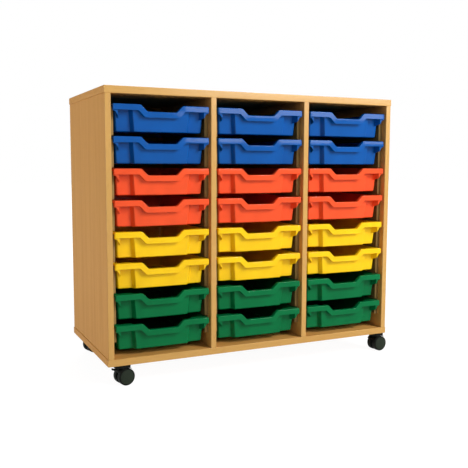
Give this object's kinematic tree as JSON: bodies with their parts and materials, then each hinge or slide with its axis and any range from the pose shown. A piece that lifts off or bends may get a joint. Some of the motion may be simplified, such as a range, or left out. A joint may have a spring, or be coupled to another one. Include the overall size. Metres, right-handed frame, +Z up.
{
  "type": "classroom tray storage unit",
  "caption": "Mobile classroom storage unit: an open-fronted wood-effect carcass with bays of coloured plastic trays that slide on side runners, on swivelling twin-wheel castors.",
  "frame": {"origin": "on the floor, under the middle of the carcass", "axes": "+X to the right along the front, +Y from the open front to the back, +Z up"},
  "size_m": [1.0639, 0.481, 0.918],
  "materials": {
    "beech_board": "satin beech-effect laminate",
    "runner_plastic": "satin moulded plastic",
    "tray_blue": "satin moulded plastic",
    "tray_red": "satin moulded plastic",
    "tray_yellow": "satin moulded plastic",
    "tray_green": "satin moulded plastic",
    "castor_plastic": "matt black moulded plastic",
    "wheel_plastic": "satin dark moulded plastic",
    "steel": "zinc-plated steel"
  },
  "bodies": {
    "carcass": {"base_panel": "beech_board", "top_panel": "beech_board", "back_panel": "beech_board", "left_side_panel": "beech_board", "left_divider": "beech_board", "right_divider": "beech_board", "right_side_panel": "beech_board", "left_bay_left_runner": "runner_plastic", "left_bay_right_runner": "runner_plastic", "centre_bay_left_runner": "runner_plastic", "centre_bay_right_runner": "runner_plastic", "right_bay_left_runner": "runner_plastic", "right_bay_right_runner": "runner_plastic", "front_left_castor_plate": "steel", "front_right_castor_plate": "steel", "rear_left_castor_plate": "steel", "rear_right_castor_plate": "steel"},
    "front_left_castor": {"front_left_castor_hood": "castor_plastic", "front_left_castor_axle": "steel"},
    "front_left_castor_wheel_inner": {"front_left_castor_wheel_inner": "wheel_plastic"},
    "front_left_castor_wheel_outer": {"front_left_castor_wheel_outer": "wheel_plastic"},
    "front_left_castor_brake_lever": {"front_left_castor_brake_lever": "castor_plastic"},
    "front_right_castor": {"front_right_castor_hood": "castor_plastic", "front_right_castor_axle": "steel"},
    "front_right_castor_wheel_inner": {"front_right_castor_wheel_inner": "wheel_plastic"},
    "front_right_castor_wheel_outer": {"front_right_castor_wheel_outer": "wheel_plastic"},
    "rear_left_castor": {"rear_left_castor_hood": "castor_plastic", "rear_left_castor_axle": "steel"},
    "rear_left_castor_wheel_inner": {"rear_left_castor_wheel_inner": "wheel_plastic"},
    "rear_left_castor_wheel_outer": {"rear_left_castor_wheel_outer": "wheel_plastic"},
    "rear_right_castor": {"rear_right_castor_hood": "castor_plastic", "rear_right_castor_axle": "steel"},
    "rear_right_castor_wheel_inner": {"rear_right_castor_wheel_inner": "wheel_plastic"},
    "rear_right_castor_wheel_outer": {"rear_right_castor_wheel_outer": "wheel_plastic"},
    "rear_right_castor_brake_lever": {"rear_right_castor_brake_lever": "castor_plastic"},
    "left_tray_row_1": {"left_tray_row_1": "tray_blue"},
    "centre_tray_row_1": {"centre_tray_row_1": "tray_blue"},
    "right_tray_row_1": {"right_tray_row_1": "tray_blue"},
    "left_tray_row_2": {"left_tray_row_2": "tray_blue"},
    "centre_tray_row_2": {"centre_tray_row_2": "tray_blue"},
    "right_tray_row_2": {"right_tray_row_2": "tray_blue"},
    "left_tray_row_3": {"left_tray_row_3": "tray_red"},
    "centre_tray_row_3": {"centre_tray_row_3": "tray_red"},
    "right_tray_row_3": {"right_tray_row_3": "tray_red"},
    "left_tray_row_4": {"left_tray_row_4": "tray_red"},
    "centre_tray_row_4": {"centre_tray_row_4": "tray_red"},
    "right_tray_row_4": {"right_tray_row_4": "tray_red"},
    "left_tray_row_5": {"left_tray_row_5": "tray_yellow"},
    "centre_tray_row_5": {"centre_tray_row_5": "tray_yellow"},
    "right_tray_row_5": {"right_tray_row_5": "tray_yellow"},
    "left_tray_row_6": {"left_tray_row_6": "tray_yellow"},
    "centre_tray_row_6": {"centre_tray_row_6": "tray_yellow"},
    "right_tray_row_6": {"right_tray_row_6": "tray_yellow"},
    "left_tray_row_7": {"left_tray_row_7": "tray_green"},
    "centre_tray_row_7": {"centre_tray_row_7": "tray_green"},
    "right_tray_row_7": {"right_tray_row_7": "tray_green"},
    "left_tray_row_8": {"left_tray_row_8": "tray_green"},
    "centre_tray_row_8": {"centre_tray_row_8": "tray_green"},
    "right_tray_row_8": {"right_tray_row_8": "tray_green"}
  },
  "joints": [
    {"name": "front_left_castor_swivel", "type": "hinge", "parent": "carcass", "child": "front_left_castor", "pos_m": [-0.485, -0.206, 0.07], "axis": [0, 0, 1], "continuous": true},
    {"name": "front_right_castor_swivel", "type": "hinge", "parent": "carcass", "child": "front_right_castor", "pos_m": [0.485, -0.206, 0.07], "axis": [0, 0, 1], "continuous": true},
    {"name": "rear_left_castor_swivel", "type": "hinge", "parent": "carcass", "child": "rear_left_castor", "pos_m": [-0.485, 0.206, 0.07], "axis": [0, 0, 1], "continuous": true},
    {"name": "rear_right_castor_swivel", "type": "hinge", "parent": "carcass", "child": "rear_right_castor", "pos_m": [0.485, 0.206, 0.07], "axis": [0, 0, 1], "continuous": true},
    {"name": "front_left_castor_wheel_inner_spin", "type": "hinge", "parent": "front_left_castor", "child": "front_left_castor_wheel_inner", "pos_m": [-0.46046, -0.20123, 0.027], "axis": [-0.1908, 0.9816, 0], "continuous": true},
    {"name": "front_left_castor_wheel_outer_spin", "type": "hinge", "parent": "front_left_castor", "child": "front_left_castor_wheel_outer", "pos_m": [-0.46046, -0.20123, 0.027], "axis": [-0.1908, 0.9816, 0], "continuous": true},
    {"name": "front_right_castor_wheel_inner_spin", "type": "hinge", "parent": "front_right_castor", "child": "front_right_castor_wheel_inner", "pos_m": [0.50994, -0.20426, 0.027], "axis": [-0.0698, 0.9976, 0], "continuous": true},
    {"name": "front_right_castor_wheel_outer_spin", "type": "hinge", "parent": "front_right_castor", "child": "front_right_castor_wheel_outer", "pos_m": [0.50994, -0.20426, 0.027], "axis": [-0.0698, 0.9976, 0], "continuous": true},
    {"name": "rear_left_castor_wheel_inner_spin", "type": "hinge", "parent": "rear_left_castor", "child": "rear_left_castor_wheel_inner", "pos_m": [-0.46085, 0.21247, 0.027], "axis": [-0.2588, 0.9659, 0], "continuous": true},
    {"name": "rear_left_castor_wheel_outer_spin", "type": "hinge", "parent": "rear_left_castor", "child": "rear_left_castor_wheel_outer", "pos_m": [-0.46085, 0.21247, 0.027], "axis": [-0.2588, 0.9659, 0], "continuous": true},
    {"name": "rear_right_castor_wheel_inner_spin", "type": "hinge", "parent": "rear_right_castor", "child": "rear_right_castor_wheel_inner", "pos_m": [0.50962, 0.21034, 0.027], "axis": [-0.1736, 0.9848, 0], "continuous": true},
    {"name": "rear_right_castor_wheel_outer_spin", "type": "hinge", "parent": "rear_right_castor", "child": "rear_right_castor_wheel_outer", "pos_m": [0.50962, 0.21034, 0.027], "axis": [-0.1736, 0.9848, 0], "continuous": true},
    {"name": "front_left_castor_brake_press", "type": "hinge", "parent": "front_left_castor", "child": "front_left_castor_brake_lever", "pos_m": [-0.48844, -0.20667, 0.0526], "axis": [0.1908, -0.9816, 0], "range_deg": [0, 18]},
    {"name": "rear_right_castor_brake_press", "type": "hinge", "parent": "rear_right_castor", "child": "rear_right_castor_brake_lever", "pos_m": [0.48155, 0.20539, 0.0526], "axis": [0.1736, -0.9848, 0], "range_deg": [0, 18]},
    {"name": "left_tray_row_1_slide", "type": "slide", "parent": "carcass", "child": "left_tray_row_1", "axis": [0, -1, 0], "range_m": [0, 0.3]},
    {"name": "centre_tray_row_1_slide", "type": "slide", "parent": "carcass", "child": "centre_tray_row_1", "axis": [0, -1, 0], "range_m": [0, 0.3]},
    {"name": "right_tray_row_1_slide", "type": "slide", "parent": "carcass", "child": "right_tray_row_1", "axis": [0, -1, 0], "range_m": [0, 0.3]},
    {"name": "left_tray_row_2_slide", "type": "slide", "parent": "carcass", "child": "left_tray_row_2", "axis": [0, -1, 0], "range_m": [0, 0.3]},
    {"name": "centre_tray_row_2_slide", "type": "slide", "parent": "carcass", "child": "centre_tray_row_2", "axis": [0, -1, 0], "range_m": [0, 0.3]},
    {"name": "right_tray_row_2_slide", "type": "slide", "parent": "carcass", "child": "right_tray_row_2", "axis": [0, -1, 0], "range_m": [0, 0.3]},
    {"name": "left_tray_row_3_slide", "type": "slide", "parent": "carcass", "child": "left_tray_row_3", "axis": [0, -1, 0], "range_m": [0, 0.3]},
    {"name": "centre_tray_row_3_slide", "type": "slide", "parent": "carcass", "child": "centre_tray_row_3", "axis": [0, -1, 0], "range_m": [0, 0.3]},
    {"name": "right_tray_row_3_slide", "type": "slide", "parent": "carcass", "child": "right_tray_row_3", "axis": [0, -1, 0], "range_m": [0, 0.3]},
    {"name": "left_tray_row_4_slide", "type": "slide", "parent": "carcass", "child": "left_tray_row_4", "axis": [0, -1, 0], "range_m": [0, 0.3]},
    {"name": "centre_tray_row_4_slide", "type": "slide", "parent": "carcass", "child": "centre_tray_row_4", "axis": [0, -1, 0], "range_m": [0, 0.3]},
    {"name": "right_tray_row_4_slide", "type": "slide", "parent": "carcass", "child": "right_tray_row_4", "axis": [0, -1, 0], "range_m": [0, 0.3]},
    {"name": "left_tray_row_5_slide", "type": "slide", "parent": "carcass", "child": "left_tray_row_5", "axis": [0, -1, 0], "range_m": [0, 0.3]},
    {"name": "centre_tray_row_5_slide", "type": "slide", "parent": "carcass", "child": "centre_tray_row_5", "axis": [0, -1, 0], "range_m": [0, 0.3]},
    {"name": "right_tray_row_5_slide", "type": "slide", "parent": "carcass", "child": "right_tray_row_5", "axis": [0, -1, 0], "range_m": [0, 0.3]},
    {"name": "left_tray_row_6_slide", "type": "slide", "parent": "carcass", "child": "left_tray_row_6", "axis": [0, -1, 0], "range_m": [0, 0.3]},
    {"name": "centre_tray_row_6_slide", "type": "slide", "parent": "carcass", "child": "centre_tray_row_6", "axis": [0, -1, 0], "range_m": [0, 0.3]},
    {"name": "right_tray_row_6_slide", "type": "slide", "parent": "carcass", "child": "right_tray_row_6", "axis": [0, -1, 0], "range_m": [0, 0.3]},
    {"name": "left_tray_row_7_slide", "type": "slide", "parent": "carcass", "child": "left_tray_row_7", "axis": [0, -1, 0], "range_m": [0, 0.3]},
    {"name": "centre_tray_row_7_slide", "type": "slide", "parent": "carcass", "child": "centre_tray_row_7", "axis": [0, -1, 0], "range_m": [0, 0.3]},
    {"name": "right_tray_row_7_slide", "type": "slide", "parent": "carcass", "child": "right_tray_row_7", "axis": [0, -1, 0], "range_m": [0, 0.3]},
    {"name": "left_tray_row_8_slide", "type": "slide", "parent": "carcass", "child": "left_tray_row_8", "axis": [0, -1, 0], "range_m": [0, 0.3]},
    {"name": "centre_tray_row_8_slide", "type": "slide", "parent": "carcass", "child": "centre_tray_row_8", "axis": [0, -1, 0], "range_m": [0, 0.3]},
    {"name": "right_tray_row_8_slide", "type": "slide", "parent": "carcass", "child": "right_tray_row_8", "axis": [0, -1, 0], "range_m": [0, 0.3]}
  ]
}
